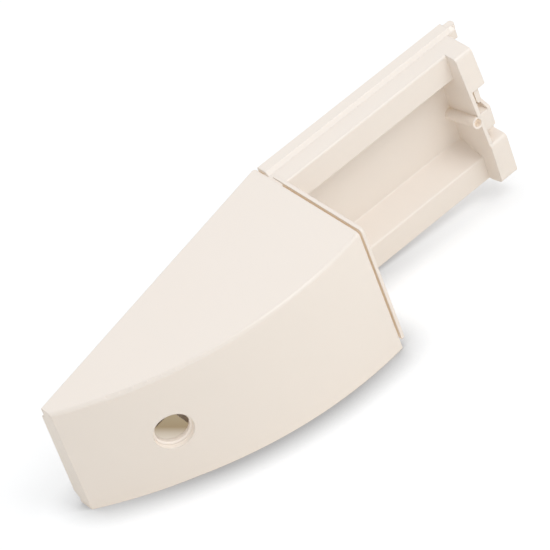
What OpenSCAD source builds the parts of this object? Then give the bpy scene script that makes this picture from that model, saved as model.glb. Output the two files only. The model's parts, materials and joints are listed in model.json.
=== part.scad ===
// Lamp bracket: one thin-walled plastic moulding.
// A curved hood, open below, ends in a groove that takes the edge of a panel. Past the groove
// a channel, open at the front, runs on to an end box, which carries the fixing boss.
// X runs along the part, from the tip of the hood to the end box. -Y is the front, +Z is up.
// The origin is the centre of the boss's mouth.

/* [Hood] */
// Length of the hood, from its tip to the panel groove
hood_l = 171.5; // [150:0.5:200]
// Height of the hood at its tip
hood_tip_h = 66; // [62:0.1:67.5]
// Height of the hood where its bottom edge bends
hood_bend_h = 68.3; // [68:0.1:71]
// Distance of that bend from the tip
hood_bend_x = 47; // [20:0.5:60]
// Height of the hood at the groove
hood_end_h = 79.4; // [75:0.1:82]
// Distance from the back edge to the curved face, at the groove
hood_end_w = 82.9; // [76:0.1:92]
// How far the back edge comes forward between the groove and the tip
tip_setback = 40; // [32:0.5:46]
// Width of the flat face at the tip
tip_w = 7.5; // [5:0.1:12]
// Radius of the curved face, in plan
face_r = 214.4; // [190:0.2:260]
// Draft of the curved face, in degrees
face_draft = 1.5; // [0.5:0.1:2.5]
// Draft of the tip, in degrees
tip_draft = 0.8; // [0.3:0.1:2]
// Radius of the edge between the top and the curved face
ridge_r = 2.1; // [1:0.1:3]
// Radius of the upright corner beside the groove, at the back
back_corner_r = 1.6; // [0.5:0.1:3]
// Wall thickness of the whole moulding
wall = 2.2; // [1.8:0.1:2.6]
// Distance of the cross wall inside the hood from the groove
web_x = 102.1; // [90:0.5:108]
// How far the cross wall ends above the hood's bottom edge
web_lift = 1; // [0.5:0.5:20]

/* [Tip tongue] */
// How far the tongue reaches behind the back edge
tongue_reach = 2.8; // [2:0.1:6]
// Height of the step above the tongue
tongue_top = 6; // [3:0.1:10]
// Depth at which the tongue starts to narrow
tongue_h = 59.8; // [40:0.1:60]

/* [Hole in the curved face] */
// Radius of the through hole
hole_r = 9; // [7:0.1:10]
// Radius of the recess round the hole
recess_r = 10.5; // [10.2:0.1:12]
// Depth of the recess
recess_depth = 2.6; // [1.5:0.1:3]
// Length of the collar, from the front of the curved face
collar_l = 5.6; // [5:0.1:9]
// Direction of the hole, in degrees round the centre of the curved face
hole_angle = 21.9; // [21:0.1:24]
// Depth of the hole's centre below the top
hole_drop = 35.6; // [25:0.1:45]

/* [Panel groove] */
// Width of the groove for the panel
groove_w = 1.5; // [1:0.1:2.5]
// Thickness of the flange behind the groove
flange_t = 2; // [1.5:0.1:3]
// Height of the flange
flange_h = 74.9; // [70:0.1:78]
// Distance of the flange's top edge from the back of the hood
flange_start = 13.5; // [12:0.5:18]

/* [Channel] */
// Distance from the groove to the inner face of the end wall
channel_l = 113; // [90:0.5:150]
// Drop of the channel's top below the hood's top
channel_drop = 0.7; // [0.3:0.1:1.5]
// Distance from the back of the hood to the front of the upper lip
lip_y = 21.4; // [20:0.1:24]
// Height of the upper lip
lip_h = 16.3; // [10:0.1:25]
// Distance from the back of the hood to the inner face of the back wall
channel_back = 8.9; // [8.5:0.1:10]
// Depth of the channel's floor below the hood's top, at the back wall
floor_back_z = 64.3; // [58:0.1:66]
// Depth of the channel's floor below the hood's top, at the front
floor_front_z = 70.2; // [68:0.1:72]
// Distance from the back of the hood to the front of the lower skirt
skirt_y = 25.2; // [24:0.1:27]
// Depth of the skirt's lower edge below the hood's top
skirt_z = 84.75; // [83.5:0.05:88]
// Radius of the channel's long edges
edge_r = 1.3; // [0.5:0.1:1.8]

/* [Rim bar] */
// Distance from the back of the hood to the back of the rim bar
rim_back = 1.9; // [1:0.1:3]
// Width of the bar's flat top
rim_w = 6.6; // [5.5:0.1:7]
// Height of the bar above the channel's top
rim_rise = 2; // [1:0.1:2.4]
// Distance of the bar's start from the hood
rim_gap = 0.8; // [0.5:0.1:1.2]
// Length by which the bar passes the end box
rim_over = 2.5; // [1:0.1:5]
// Length of the tab at the back of the bar's end
rear_tab = 5.3; // [3:0.1:7]
// Length of the tab at the front of the bar's end
front_tab = 3; // [1.5:0.1:4]
// Height of the front tab, below the channel's top
front_tab_h = 5.3; // [3.5:0.1:8]

/* [End box] */
// Length of the end box
box_l = 11; // [10:0.1:16]
// Distance from the back of the hood to the box's front, at its top
box_top_y = 28.7; // [28:0.1:30]
// Distance from the back of the hood to the box's front, at its foot
box_low_y = 36; // [35:0.1:38]
// Depth of the underside of the upper block
upper_z = 24; // [22:0.1:26]
// Depth of the top of the middle block
middle_top_z = 36.6; // [35.5:0.1:37.5]
// Depth of the underside of the middle block
middle_low_z = 48.6; // [47.5:0.1:50]
// Depth of the top of the lower block
lower_z = 56.6; // [55:0.1:58]
// Distance from the back of the hood to the bottom of the notches
notch_y = 26.4; // [25:0.1:27]
// Distance by which the middle block stays behind the box's outer side
middle_inset = 2.3; // [1.5:0.1:3.5]
// Clearance round the snap finger
finger_gap = 0.8; // [0.5:0.1:1]

/* [Fixing boss] */
// Radius of the screw hole
screw_r = 2.1; // [1.5:0.05:2.3]
// Radius of the boss
boss_r = 3.25; // [3:0.05:3.6]
// Rise of the boss towards the front, in degrees
boss_tilt = 12.4; // [8:0.1:14]
// Distance of the boss's axis from the end wall
boss_off = 1.2; // [0.8:0.1:2.5]
// Depth of the boss's mouth below the hood's top
boss_drop = 40.7; // [39:0.1:43]
// Distance from the back of the hood to the boss's mouth
boss_y = 33.2; // [32.5:0.1:34.5]

/* [Hidden] */
$fn = 96;
ivory = [0.95, 0.91, 0.86];
seat_bevel = 0.7;
far = 3 * hood_end_w;

// Plan of the curved face: a circle through the front corners at the tip and at the groove
tip_front = [-hood_l, -tip_setback - tip_w];
end_front = [0, -hood_end_w];
chord = end_front - tip_front;
chord_mid = (end_front + tip_front) / 2;
chord_rise = sqrt(face_r * face_r - chord * chord / 4);
face_c = chord_mid + chord_rise * [-chord.y, chord.x] / norm(chord);
tip_lean = tan(tip_draft);
back_slope = tip_setback / hood_l;
back_tilt = atan(back_slope);

// Places along X
flange_x = groove_w;
channel_x = flange_x + flange_t;
box_x = channel_l;
box_end = box_x + box_l;
boss_x = box_x - boss_off;
rim_end = box_end + rim_over;

// Heights of the channel
top_z = -channel_drop;
rim_z = top_z + rim_rise;
rim_front = rim_back + rim_w;
floor_slope = (floor_front_z - floor_back_z) / (skirt_y - channel_back);
back_face = channel_back - wall;

// Points of an outline with its corners rounded: each corner is [x, y, radius]
function unit(v) = v / norm(v);
function arc_points(p, r, a, b, steps = 6) =
    let (u = unit(a - p), v = unit(b - p),
         half = acos(u * v) / 2,
         back = r / tan(half),
         c = p + unit(u + v) * r / sin(half),
         s = p + u * back - c,
         e = p + v * back - c,
         turn = 180 - 2 * half)
    [for (i = [0 : steps])
        let (k = i / steps)
        c + (sin((1 - k) * turn) * s + sin(k * turn) * e) / sin(turn)];
function rounded(corners) =
    let (n = len(corners))
    [for (i = [0 : n - 1])
        let (c = corners[i],
             p = [c.x, c.y],
             a = corners[(i + n - 1) % n],
             b = corners[(i + 1) % n])
        each (c[2] > 0 ? arc_points(p, c[2], [a.x, a.y], [b.x, b.y]) : [p])];

// A profile drawn in Y and Z, drawn out along X from x to x + l
module along_x(x, l) {
    translate([x, 0, 0])
        rotate([90, 0, 90])
            linear_extrude(height = l)
                children();
}

// The curved face and the top as one turned solid, inset all round by a distance
module face_form(inset, r) {
    depth = 2 * hood_end_h;
    top_r = face_r - inset / cos(face_draft) - inset * tan(face_draft);
    low_r = top_r + depth * tan(face_draft);
    arc_r = top_r - r * (1 - sin(face_draft)) / cos(face_draft);
    translate([face_c.x, face_c.y, -inset])
        rotate_extrude($fn = 360) {
            polygon([
                [0.3 * face_r, 0],
                [arc_r, 0],
                [arc_r + r * cos(face_draft), -r + r * sin(face_draft)],
                [low_r, -depth],
                [0.3 * face_r, -depth],
            ]);
            if (r > 0)
                translate([arc_r, -r])
                    circle(r = r, $fn = 48);
        }
}

// Side view of the hood, drawn out along Y: the tip leans with the draft, and the bottom edge
// slopes down to the groove. The tip, the groove's side and the bottom are inset separately.
module side_form(tip_inset, end_inset, low_inset) {
    tip_x = -hood_l + tip_inset / cos(tip_draft);
    low = hood_tip_h - low_inset;
    rotate([90, 0, 0])
        linear_extrude(height = 2 * far, center = true)
            polygon([
                [tip_x + 10 * tip_lean, 10],
                [-end_inset, 10],
                [-end_inset, -hood_end_h + low_inset],
                [-hood_l + hood_bend_x, -hood_bend_h + low_inset],
                [tip_x - low * tip_lean, -low],
            ]);
}

module hood_outside() {
    intersection() {
        face_form(0, ridge_r);
        side_form(0, 0, 0);
        translate([0, 0, -far])
            linear_extrude(height = 2 * far)
                polygon(rounded([
                    [-hood_l - 10, -tip_setback - 10 * back_slope, 0],
                    [0, 0, back_corner_r],
                    [0, -far, 0],
                    [-hood_l - 10, -far, 0],
                ]));
    }
}

// Plan of the space in front of the hood's back wall, between two walls, inset by a distance
module behind_face(x1, x2, inset) {
    step = inset / cos(back_tilt);
    translate([0, 0, -far])
        linear_extrude(height = 2 * far)
            polygon([
                [x1, back_slope * x1 - step],
                [x2, back_slope * x2 - step],
                [x2, -far],
                [x1, -far],
            ]);
}

// The hollow of the hood, open below
module hood_inside() {
    intersection() {
        face_form(wall, 0);
        side_form(wall, wall, -wall);
        behind_face(-hood_l - 10, 0, wall);
    }
}

// The cross wall inside the hood, rooted half a wall deep in what it meets
module hood_web() {
    intersection() {
        face_form(wall / 2, 0);
        side_form(0, 0, web_lift);
        behind_face(-web_x - wall, -web_x, wall / 2);
    }
}

// The tongue that the leaning tip wall sends out behind the hood's back wall
module tip_tongue() {
    root = -tip_setback - tip_w / 2;
    edge = -tip_setback + tongue_reach;
    foot = tongue_h + 1.25 * tongue_reach;
    translate([-hood_l, 0, 0])
        rotate([0, tip_draft, 0])
            along_x(0, wall)
                polygon(rounded([
                    [root, -tongue_top, 0],
                    [edge, -tongue_top, 1.5],
                    [edge, -tongue_h, 1],
                    [-tip_setback - 1, -foot, 0],
                    [root, -foot, 0],
                ]));
}

// Places what is drawn along Z on the hole's axis, with z = 0 on the curved face
module at_hole() {
    radius = face_r + hole_drop * tan(face_draft);
    translate([face_c.x, face_c.y, -hole_drop])
        rotate([0, 0, -hole_angle])
            translate([0, -radius, 0])
                rotate([90, 0, 0])
                    children();
}

module hole_collar() {
    at_hole()
        translate([0, 0, -collar_l])
            cylinder(r = recess_r + wall - 0.4, h = collar_l - wall / 2);
}

module hole_bores() {
    at_hole() {
        translate([0, 0, -collar_l - 1])
            cylinder(r = hole_r, h = collar_l + 6);
        translate([0, 0, -recess_depth])
            cylinder(r = recess_r, h = recess_depth + 5);
        translate([0, 0, -recess_depth - seat_bevel])
            cylinder(r1 = hole_r, r2 = hole_r + seat_bevel, h = seat_bevel);
    }
}

// The flange follows the hood's outline on the far side of the groove
module flange() {
    intersection() {
        face_form(0, ridge_r);
        along_x(flange_x, flange_t)
            polygon([
                [-flange_start, 1],
                [-far, 1],
                [-far, -flange_h],
                [-back_face - wall / 2, -flange_h],
                [-back_face - wall / 2, -wall],
                [-flange_start, -wall],
            ]);
    }
}

// Section of the channel: top wall with lip, back wall, sloping floor with skirt and rear leg
module channel_section() {
    polygon(rounded([
        [-back_face, top_z, 0],
        [-lip_y, top_z, edge_r],
        [-lip_y, top_z - lip_h, 0.6],
        [-lip_y + wall, top_z - lip_h, 0.6],
        [-lip_y + wall, top_z - wall, 0.5],
        [-channel_back, top_z - wall, 0.5],
        [-channel_back, -floor_back_z, 1],
        [-skirt_y, -floor_front_z, edge_r],
        [-skirt_y, -skirt_z, 0.5],
        [-skirt_y + wall, -skirt_z, 0.5],
        [-skirt_y + wall, -floor_front_z + wall * floor_slope - 1.06 * wall, 0.5],
        [-channel_back, -floor_back_z - 1.06 * wall, 0.5],
        [-channel_back, -skirt_z, 0.5],
        [-back_face, -skirt_z, 0.5],
    ]));
}

module channel() {
    along_x(0, box_x + wall / 2)
        channel_section();
    intersection() {
        along_x(-wall / 2, wall)
            channel_section();
        side_form(0, -wall, wall / 2);
    }
}

// The raised bar along the back of the channel's top, with its sloping front
module rim_bar() {
    under = top_z - wall + 0.3;
    along_x(rim_gap, rim_end - rim_gap)
        polygon(rounded([
            [-rim_back, under, 0],
            [-rim_back, rim_z, 0.5],
            [-rim_front, rim_z, 0.6],
            [-rim_front - rim_rise, top_z, 0],
            [-rim_front - rim_rise, under, 0],
        ]));
}

// The flat tab behind, a little lower than the bar, with a rounded end
module rim_rear_tab() {
    low = top_z - wall + 0.6;
    back = -rim_back - 2;
    front = -rim_front + 0.2;
    translate([0, 0, low])
        linear_extrude(height = rim_z - 0.5 - low)
            polygon(rounded([
                [rim_end - 1, back, 0],
                [rim_end - 1, front, 0],
                [rim_end + rear_tab, front, 1.6],
                [rim_end + rear_tab, back, 1.6],
            ]));
}

// The short tab in front, which carries the bar's slope on and hangs lower
module rim_front_tab() {
    back = -rim_front + 0.8;
    front = -rim_front - rim_rise;
    low = top_z - front_tab_h;
    intersection() {
        along_x(box_end - 1, rim_over + front_tab + 2)
            polygon(rounded([
                [back, low, 0],
                [back, rim_z - 0.3, 0],
                [-rim_front + 0.3, rim_z - 0.3, 0],
                [front, top_z, 0.8],
                [front, low, 0],
            ]));
        translate([0, 0, low - 1])
            linear_extrude(height = front_tab_h + 4)
                polygon(rounded([
                    [box_end - 1, back + 1, 0],
                    [box_end - 1, front - 1, 0],
                    [rim_end + front_tab, front - 1, 0],
                    [rim_end + front_tab, front + 1, 0.8],
                    [rim_end + front_tab - 0.8, back + 1, 0],
                ]));
    }
}

// Slant of the box's front: the distance from the back of the hood at a given depth
function box_front(z) =
    box_top_y + (z - channel_drop) * (box_low_y - 1 - box_top_y) / (lower_z - channel_drop);

// Outline of the end wall in Y and Z, without the notches
module end_wall_outline() {
    polygon(rounded([
        [-back_face, top_z, 0],
        [-box_top_y, top_z, 2.6],
        [-box_front(lower_z), -lower_z, 0],
        [-box_low_y, -lower_z - 1.2, 0.8],
        [-box_low_y, -skirt_z + 2.2, 2.4],
        [-skirt_y - 2, -skirt_z, 2],
        [-back_face, -skirt_z, 0],
    ]));
}

// Outline of the box outside the end wall, with the notched front, inset by a distance.
// Inset by the wall it passes the back of the box, so that the hollow is open there.
module box_outline(inset) {
    polygon(rounded([
        [-back_face + inset, top_z - inset, 0],
        [-box_top_y + inset, top_z - inset, 2.6 - inset],
        [-box_front(upper_z) + inset, -upper_z + inset, 0.8],
        [-notch_y + inset, -upper_z + inset, 0],
        [-notch_y + inset, -lower_z - inset, 0],
        [-box_low_y + inset, -lower_z - inset, 2 - inset / 2],
        [-box_low_y + inset, -skirt_z + 2.2 + inset, 2.4 - inset / 2],
        [-skirt_y - 2, -skirt_z + inset, 1.6],
        [-back_face + inset, -skirt_z + inset, 0],
    ]));
}

// Side view of the box, drawn out along Y: its middle stands back from the outer side
module box_side() {
    middle_x = box_end - middle_inset;
    middle_z = middle_low_z + 0.9;
    rotate([90, 0, 0])
        linear_extrude(height = 2 * far, center = true)
            polygon(rounded([
                [box_x, 1, 0],
                [box_end, 1, 0],
                [box_end, -upper_z, 1.2],
                [middle_x, -upper_z, 0],
                [middle_x, -middle_z, 0],
                [box_end, -middle_z, 0],
                [box_end, -skirt_z, 2],
                [box_x, -skirt_z, 0],
            ]));
}

// The hollow of the box: narrow in the middle, wide in the upper and lower blocks
module box_hollow() {
    wide = box_l - 2 * wall;
    along_x(box_x + wall, wide - middle_inset)
        box_outline(wall);
    along_x(box_x + wall, wide)
        difference() {
            box_outline(wall);
            translate([-far, -lower_z - wall])
                square([2 * far, lower_z - upper_z + 2 * wall]);
        }
}

// The middle block, with a rib on its outer side that slopes down to the front
module middle_block() {
    front = -box_front((middle_top_z + middle_low_z) / 2) + 0.4;
    root = -notch_y + wall / 2;
    length = box_l - middle_inset - wall / 2;
    along_x(box_x + wall / 2, length)
        polygon(rounded([
            [root, -middle_top_z - 0.9, 0],
            [front, -middle_top_z - 0.9, 0.5],
            [front, -middle_low_z - 0.9, 1.2],
            [root, -middle_low_z - 0.9, 0],
        ]));
    along_x(box_end - middle_inset - 1.9, 1.9)
        polygon(rounded([
            [root, -middle_top_z + 2.3, 0],
            [-notch_y - 0.8, -middle_top_z + 2.3, 0.8],
            [front, -middle_top_z + 0.3, 0.8],
            [front, -middle_low_z, 0],
            [root, -middle_low_z, 0],
        ]));
}

// The snap finger that hangs from the upper block, with a rounded tip
module snap_finger() {
    left = box_x + wall + 2 * finger_gap;
    right = box_end - middle_inset - 1.9;
    thick = 2.8;
    translate([0, -notch_y - finger_gap, 0])
        rotate([90, 0, 0])
            linear_extrude(height = thick)
                polygon(rounded([
                    [left, -upper_z + wall / 2, 0],
                    [right, -upper_z + wall / 2, 0],
                    [right, -middle_top_z + 4.6, 1.3],
                    [left + 0.9, -middle_top_z + 2.9, 1],
                    [left, -middle_top_z + 5.6, 0],
                ]));
}

// The opening behind and beside the finger
module finger_window() {
    translate([box_x + wall, -notch_y - 1, -middle_top_z])
        cube([box_l - wall - middle_inset - 1.9, wall + 2, middle_top_z - upper_z]);
}

module end_box() {
    difference() {
        union() {
            along_x(box_x, wall)
                end_wall_outline();
            intersection() {
                along_x(box_x + wall / 2, box_l - wall / 2)
                    box_outline(0);
                box_side();
            }
        }
        box_hollow();
        finger_window();
    }
    middle_block();
    snap_finger();
}

// Places what is drawn along Z on the boss's axis, with z = 0 at its mouth
module at_boss() {
    translate([boss_x, -boss_y, -boss_drop])
        rotate([90 - boss_tilt, 0, 0])
            children();
}

boss_l = (boss_y - channel_back + wall / 2) / cos(boss_tilt);

module boss() {
    at_boss()
        translate([0, 0, -boss_l])
            cylinder(r = boss_r, h = boss_l);
}

module boss_bore() {
    at_boss()
        translate([0, 0, -boss_l - 2 * wall])
            cylinder(r = screw_r, h = boss_l + 3 * wall);
}

module hood() {
    difference() {
        hood_outside();
        hood_inside();
    }
    hood_web();
    tip_tongue();
    hole_collar();
}

module lamp_bracket() {
    color(ivory)
        translate([-boss_x, boss_y, boss_drop])
            difference() {
                union() {
                    hood();
                    flange();
                    channel();
                    rim_bar();
                    rim_rear_tab();
                    rim_front_tab();
                    end_box();
                    boss();
                }
                hole_bores();
                boss_bore();
            }
}

lamp_bracket();
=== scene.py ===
import json
import math

import bmesh
import bpy
from mathutils import Matrix, Vector


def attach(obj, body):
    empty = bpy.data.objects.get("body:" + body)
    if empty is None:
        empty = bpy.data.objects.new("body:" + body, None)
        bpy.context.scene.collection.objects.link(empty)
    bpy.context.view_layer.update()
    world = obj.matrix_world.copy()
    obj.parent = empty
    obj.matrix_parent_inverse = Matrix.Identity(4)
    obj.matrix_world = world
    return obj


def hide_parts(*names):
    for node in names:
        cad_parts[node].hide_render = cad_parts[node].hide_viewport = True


# Lengths are in metres and places are in the part's own frame. Colours are linear red, green, blue.

# The camera: its place, its turn in degrees, its lens and sensor in millimetres, how far it sees
CAMERA_AT = (-0.78866, -1.35375, 1.31597)
AZIMUTH = 25.661
ELEVATION = 41.096
ROLL = -21.191
LENS = 261.99
SENSOR = 36.0
CAMERA_REACH = 20.0

# Three points of the part that stand on the floor, counter-clockwise from above
FLOOR_POINTS = (
    (-0.18304, -0.05519, -0.03235),
    (-0.1118, 0.0085, -0.04405),
    (-0.28004, -0.01871, -0.0255),
)
FLOOR_WIDTH = 12.0

# The floor's colours: for the light that it throws on the part, and for the camera in the open.
# The contact shadow gives the camera a colour for how open the floor is, from 0 to 1.
FLOOR_LIT = (0.92, 0.9, 0.86)
FLOOR_OPEN = (1.06, 1.07, 1.08)
CONTACT_STEPS = ((0.25, (0.60, 0.60, 0.605)), (0.47, (0.41, 0.41, 0.415)), (1.0, FLOOR_OPEN))
CONTACT_REACH = 0.02
CONTACT_SAMPLES = 16

# The contact shadow is whole up to the first distance from its middle, along X. At the second,
# CONTACT_FADED of it has given way to the open floor's colour.
CONTACT_MIDDLE = -0.19
CONTACT_FADE = (0.035, 0.19)
CONTACT_FADED = 0.75

# The share of the floor's colour that the camera sees evenly lit, whatever the lamps do
EVEN_SHARE = 0.5

# A painted shade and painted warm light on the paper behind the round hole, where the floor lies in the
# shade
# under the hood: bright towards the front, warm and dark further in. Each step is a distance along
# SPOT_ALONG and a colour. The spot is full up to the radius SPOT_FULL and gone at SPOT_END.
SPOT_AT = (-0.222, 0.0, -0.0326)
SPOT_ALONG = (0.82, 0.57, 0.0)
PAINTED_SHADE_STEPS = (
    (-0.007, (0.70, 0.62, 0.52)),
    (-0.003, (0.58, 0.50, 0.40)),
    (0.0015, (0.37, 0.285, 0.18)),
    (0.008, (0.40, 0.32, 0.21)),
)
SPOT_FULL = 0.0115
SPOT_END = 0.0135

# The lights: white surroundings, and three soft lamps given by where they stand, where they point,
# their width and their power in watts
WHITE = (1.0, 1.0, 1.0)
SURROUND = 0.66
PART_MIDDLE = (-0.13, -0.02, 0.0)
CHANNEL_MIDDLE = (-0.06, 0.013, 0.0)
LAMPS = {
    "key": ((0.53, -0.944, 1.87), PART_MIDDLE, 1.0, 15.2),
    "rim": ((0.089, 1.865, 1.109), PART_MIDDLE, 1.6, 5.3),
    "front": ((0.06, -0.5, 0.3), CHANNEL_MIDDLE, 0.3, 0.18),
}

# Small hidden lamps for the walls of the two round holes. Each stands in the hole of a mount and is
# given by its depth below the mouth, its radius and its power in watts.
GLOWS = {
    "screw_boss": (0.00512, 0.0005, 0.00006),
    "fascia_hole": (0.00103, 0.003, 0.0009),
}
GLOW_COLOR = (1.0, 0.96, 0.91)

# The plastic: its tint between two ivories, its gloss, its grain and the rounding of its edges.
# Noise has a number of spots to the metre and a detail; a bump also has a depth. NOISE_RANGE is the
# part of the noise's own values that is spread out.
IVORY = (0.95, 0.89, 0.828)
IVORY_DEEP = (0.945, 0.882, 0.817)
TINT_NOISE = (28.0, 3.0)
IOR = 1.5
ROUGHNESS = (0.285, 0.335)
ROUGHNESS_NOISE = (140.0, 3.0)
COAT = 0.15
COAT_ROUGHNESS = 0.15
BUMPS = ((30.0, 2.0, 0.00010), (450.0, 2.0, 0.000004))
NOISE_RANGE = (0.1, 0.9)
EDGE_RADIUS = 0.0005
EDGE_SAMPLES = 6

# The light that comes through the walls: the share of the surface that lets it pass, and the warm
# glow of narrow gaps and corners
THROUGH = (1.0, 0.76, 0.38)
THROUGH_SHARE = 0.085
CREVICE = (1.0, 0.70, 0.34)
CREVICE_REACH = 0.004
CREVICE_SAMPLES = 8
CREVICE_CURVE = 2.0
CREVICE_LIGHT = 0.10

# The mesh: points this close are one, and edges that turn by more degrees than this stay sharp
WELD = 1e-6
SHARP_ANGLE = 32

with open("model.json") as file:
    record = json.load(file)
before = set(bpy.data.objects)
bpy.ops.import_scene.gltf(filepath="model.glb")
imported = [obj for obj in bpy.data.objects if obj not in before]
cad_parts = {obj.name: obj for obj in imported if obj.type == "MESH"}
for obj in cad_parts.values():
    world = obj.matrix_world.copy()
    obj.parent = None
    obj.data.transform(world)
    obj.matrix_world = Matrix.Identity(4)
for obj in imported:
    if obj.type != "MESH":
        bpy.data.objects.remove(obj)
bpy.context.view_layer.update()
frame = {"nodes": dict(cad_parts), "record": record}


def add_object(name, data):
    thing = bpy.data.objects.new(name, data)
    bpy.context.scene.collection.objects.link(thing)
    return thing


def camera_turn():
    """The camera looks along its azimuth and elevation, then rolls about its own axis."""
    a, e, r = (math.radians(v) for v in (AZIMUTH, ELEVATION, ROLL))
    forward = Vector((math.sin(a) * math.cos(e), math.cos(a) * math.cos(e), -math.sin(e)))
    level = Vector((math.cos(a), -math.sin(a), 0.0))
    above = level.cross(forward)
    right = math.cos(r) * level + math.sin(r) * above
    up = math.cos(r) * above - math.sin(r) * level
    return Matrix((right, up, -forward)).transposed().to_4x4()


def add_camera():
    data = bpy.data.cameras.new("camera")
    data.lens = LENS
    data.sensor_width = SENSOR
    data.clip_end = CAMERA_REACH
    camera = add_object("camera", data)
    camera.matrix_world = Matrix.Translation(CAMERA_AT) @ camera_turn()
    bpy.context.scene.camera = camera


def add_lamp(name, place, target, width, power):
    """A soft square lamp that points at a target."""
    data = bpy.data.lights.new(name, "AREA")
    data.shape = "SQUARE"
    data.size = width
    data.energy = power
    turn = (Vector(place) - Vector(target)).to_track_quat("Z", "Y").to_matrix().to_4x4()
    add_object(name, data).matrix_world = Matrix.Translation(Vector(place)) @ turn


def add_glow(mount, depth, radius, power):
    """A small lamp in the hole of a mount, which the camera and reflections don't see."""
    name = mount["name"] + " glow"
    data = bpy.data.lights.new(name, "POINT")
    data.shadow_soft_size = radius
    data.energy = power
    data.color = GLOW_COLOR
    lamp = add_object(name, data)
    lamp.location = Vector(mount["pos_m"]) - depth * Vector(mount["axis"])
    lamp.visible_camera = False
    lamp.visible_glossy = False


def add_world():
    world = bpy.data.worlds.new("surround")
    bpy.context.scene.world = world
    world.use_nodes = True
    back = world.node_tree.nodes["Background"]
    back.inputs["Color"].default_value = (*WHITE, 1.0)
    back.inputs["Strength"].default_value = SURROUND


def new_material(name, surface):
    """A material whose surface is the shader that surface(tree) builds."""
    material = bpy.data.materials.new(name)
    material.use_nodes = True
    tree = material.node_tree
    tree.nodes.clear()
    make(tree, "OutputMaterial", {"Surface": surface(tree)})
    return material


def make(tree, kind, inputs, **settings):
    """A new shader node. Each input is linked to an output, or set to a colour or a number."""
    node = tree.nodes.new("ShaderNode" + kind)
    for name, value in settings.items():
        setattr(node, name, value)
    for name, value in inputs.items():
        socket = node.inputs[name]
        if isinstance(value, bpy.types.NodeSocket):
            tree.links.new(value, socket)
        elif socket.type == "RGBA":
            socket.default_value = (*value, 1.0)
        else:
            socket.default_value = value
    return node


def calculated(tree, operation, *values):
    """The result of a sum, a product or the like."""
    return make(tree, "Math", dict(enumerate(values)), operation=operation).outputs[0]


def spread(tree, value, source, target):
    """The value moved from one range to another, and held inside it."""
    ends = {"From Min": source[0], "From Max": source[1], "To Min": target[0], "To Max": target[1]}
    return make(tree, "MapRange", {"Value": value, **ends}).outputs["Result"]


def blend(tree, share, first, second):
    """A colour between two others."""
    inputs = {"Factor": share, "A": first, "B": second}
    return make(tree, "Mix", inputs, data_type="RGBA").outputs["Result"]


def mixed(tree, share, first, second):
    """A shader between the shaders of two nodes."""
    inputs = {0: share, 1: first.outputs[0], 2: second.outputs[0]}
    return make(tree, "MixShader", inputs)


def ramp(tree, value, steps):
    """The value turned into a colour. Each step is a value and its colour."""
    low, high = steps[0][0], steps[-1][0]
    node = make(tree, "ValToRGB", {"Fac": spread(tree, value, (low, high), (0.0, 1.0))})
    row = node.color_ramp.elements
    while len(row) < len(steps):
        row.new(0.5)
    for element, (at, color) in zip(row, steps):
        element.position = (at - low) / (high - low)
        element.color = (*color, 1.0)
    return node.outputs["Color"]


def noise(tree, scale, detail, low, high):
    """Noise in the part's own space, spread between two values."""
    place = make(tree, "TexCoord", {}).outputs["Object"]
    texture = make(tree, "TexNoise", {"Vector": place, "Scale": scale, "Detail": detail})
    return spread(tree, texture.outputs["Fac"], NOISE_RANGE, (low, high))


def moulded_normal(tree):
    """Slightly rounded edges, with the faint grain and waviness of a moulded face."""
    normal = make(tree, "Bevel", {"Radius": EDGE_RADIUS}, samples=EDGE_SAMPLES).outputs["Normal"]
    for scale, detail, depth in BUMPS:
        height = noise(tree, scale, detail, 0.0, 1.0)
        inputs = {"Strength": 1.0, "Distance": depth, "Height": height, "Normal": normal}
        normal = make(tree, "Bump", inputs).outputs["Normal"]
    return normal


def crevice_light(tree):
    """Strength of the warm light in narrow gaps and corners."""
    near = make(tree, "AmbientOcclusion", {"Distance": CREVICE_REACH}, samples=CREVICE_SAMPLES)
    closed = calculated(tree, "SUBTRACT", 1.0, near.outputs["AO"])
    return calculated(tree, "MULTIPLY", calculated(tree, "POWER", closed, CREVICE_CURVE), CREVICE_LIGHT)


def plastic(tree):
    """Glossy ivory plastic that lets a little warm light through its thin walls."""
    normal = moulded_normal(tree)
    shader = make(tree, "BsdfPrincipled", {
        "Base Color": blend(tree, noise(tree, *TINT_NOISE, 0.0, 1.0), IVORY, IVORY_DEEP),
        "Roughness": noise(tree, *ROUGHNESS_NOISE, *ROUGHNESS),
        "IOR": IOR,
        "Normal": normal,
        "Coat Weight": COAT,
        "Coat Roughness": COAT_ROUGHNESS,
        "Emission Color": CREVICE,
        "Emission Strength": crevice_light(tree),
    })
    through = make(tree, "BsdfTranslucent", {"Color": THROUGH, "Normal": normal})
    return mixed(tree, THROUGH_SHARE, shader, through).outputs[0]


def contact_color(tree, place):
    """The paper's colour in the part's contact shadow, which is weaker towards both ends."""
    near = make(tree, "AmbientOcclusion", {"Distance": CONTACT_REACH}, samples=CONTACT_SAMPLES)
    shade = ramp(tree, near.outputs["AO"], CONTACT_STEPS)
    x = make(tree, "SeparateXYZ", {0: place}).outputs["X"]
    distance = calculated(tree, "ABSOLUTE", calculated(tree, "SUBTRACT", x, CONTACT_MIDDLE))
    fade = spread(tree, distance, CONTACT_FADE, (0.0, CONTACT_FADED))
    return blend(tree, fade, shade, FLOOR_OPEN)


def painted_shade_behind_hole(tree, place):
    """Colour and opacity of the painted shade and warm light on the paper behind the round hole."""
    offset = make(tree, "VectorMath", {0: place, 1: SPOT_AT}, operation="SUBTRACT").outputs["Vector"]
    along = make(tree, "VectorMath", {0: offset, 1: SPOT_ALONG}, operation="DOT_PRODUCT")
    away = make(tree, "VectorMath", {0: offset}, operation="LENGTH")
    opacity = spread(tree, away.outputs["Value"], (SPOT_END, SPOT_FULL), (0.0, 1.0))
    return ramp(tree, along.outputs["Value"], PAINTED_SHADE_STEPS), opacity


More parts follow.
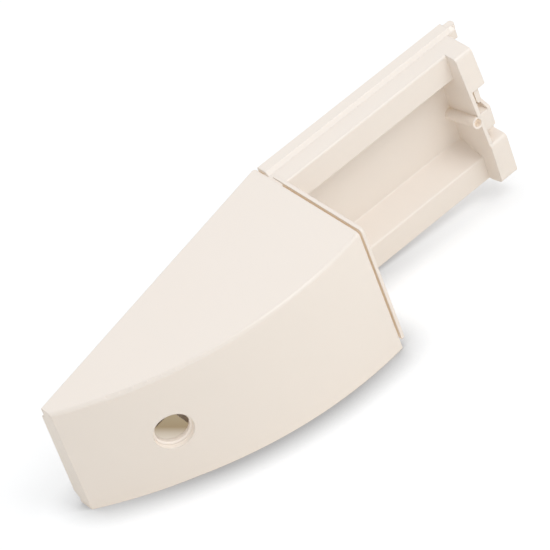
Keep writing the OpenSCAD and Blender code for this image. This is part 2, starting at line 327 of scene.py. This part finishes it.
def paper(tree):
    """White paper with a painted contact shadow and a painted shade behind the round hole. The camera
    sees it brighter and more evenly lit than the part does.
    """
    place = make(tree, "NewGeometry", {}).outputs["Position"]
    tint = contact_color(tree, place)
    # The painted shade and warm light behind the round hole
    painted_shade_color, opacity = painted_shade_behind_hole(tree, place)
    lit = make(tree, "BsdfDiffuse", {"Color": FLOOR_LIT})
    shaded = make(tree, "BsdfDiffuse", {"Color": tint})
    even = make(tree, "Emission", {"Color": tint})
    spot = make(tree, "Emission", {"Color": painted_shade_color})
    seen = mixed(tree, opacity, mixed(tree, EVEN_SHARE, shaded, even), spot)
    path = make(tree, "LightPath", {})
    return mixed(tree, path.outputs["Is Camera Ray"], lit, seen).outputs[0]


def floor_frame():
    """A frame on the floor, with its Z axis upwards from the floor."""
    a, b, c = (Vector(p) for p in FLOOR_POINTS)
    x = (b - a).normalized()
    up = x.cross(c - a).normalized()
    return Matrix.Translation(a) @ Matrix((x, up.cross(x), up)).transposed().to_4x4()


def add_floor():
    bpy.ops.mesh.primitive_plane_add(size=FLOOR_WIDTH)
    floor = bpy.context.object
    floor.name = "floor"
    floor.matrix_world = floor_frame()
    floor.data.materials.append(new_material("floor", paper))


def welded_copy(mesh):
    """A copy of a mesh with its seams closed, smooth but for its sharp edges, without stored normals."""
    mesh = mesh.copy()
    shape = bmesh.new()
    shape.from_mesh(mesh)
    bmesh.ops.remove_doubles(shape, verts=shape.verts, dist=WELD)
    for face in shape.faces:
        face.smooth = True
    for edge in shape.edges:
        edge.smooth = len(edge.link_faces) == 2 and edge.calc_face_angle() < math.radians(SHARP_ANGLE)
    shape.to_mesh(mesh)
    shape.free()
    if "custom_normal" in mesh.attributes:
        mesh.attributes.remove(mesh.attributes["custom_normal"])
    return mesh


def add_moulding(node):
    """The bracket's own mesh with its seams closed and its normals even, which stands for the node."""
    mesh = welded_copy(node.data)
    mesh.materials.clear()
    mesh.materials.append(new_material("ivory_plastic", plastic))
    piece = add_object("moulding", mesh)
    piece.matrix_world = node.matrix_world
    piece.modifiers.new("even normals", "WEIGHTED_NORMAL").keep_sharp = True
    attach(piece, "root")
    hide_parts("lamp_bracket")


add_moulding(frame["nodes"]["lamp_bracket"])
add_camera()
add_floor()
add_world()
for name, (place, target, width, power) in LAMPS.items():
    add_lamp(name, place, target, width, power)
mounts = {mount["name"]: mount for mount in frame["record"]["mounts"]}
for name, (depth, radius, power) in GLOWS.items():
    add_glow(mounts[name], depth, radius, power)

bpy.context.scene.view_settings.view_transform = "Standard"
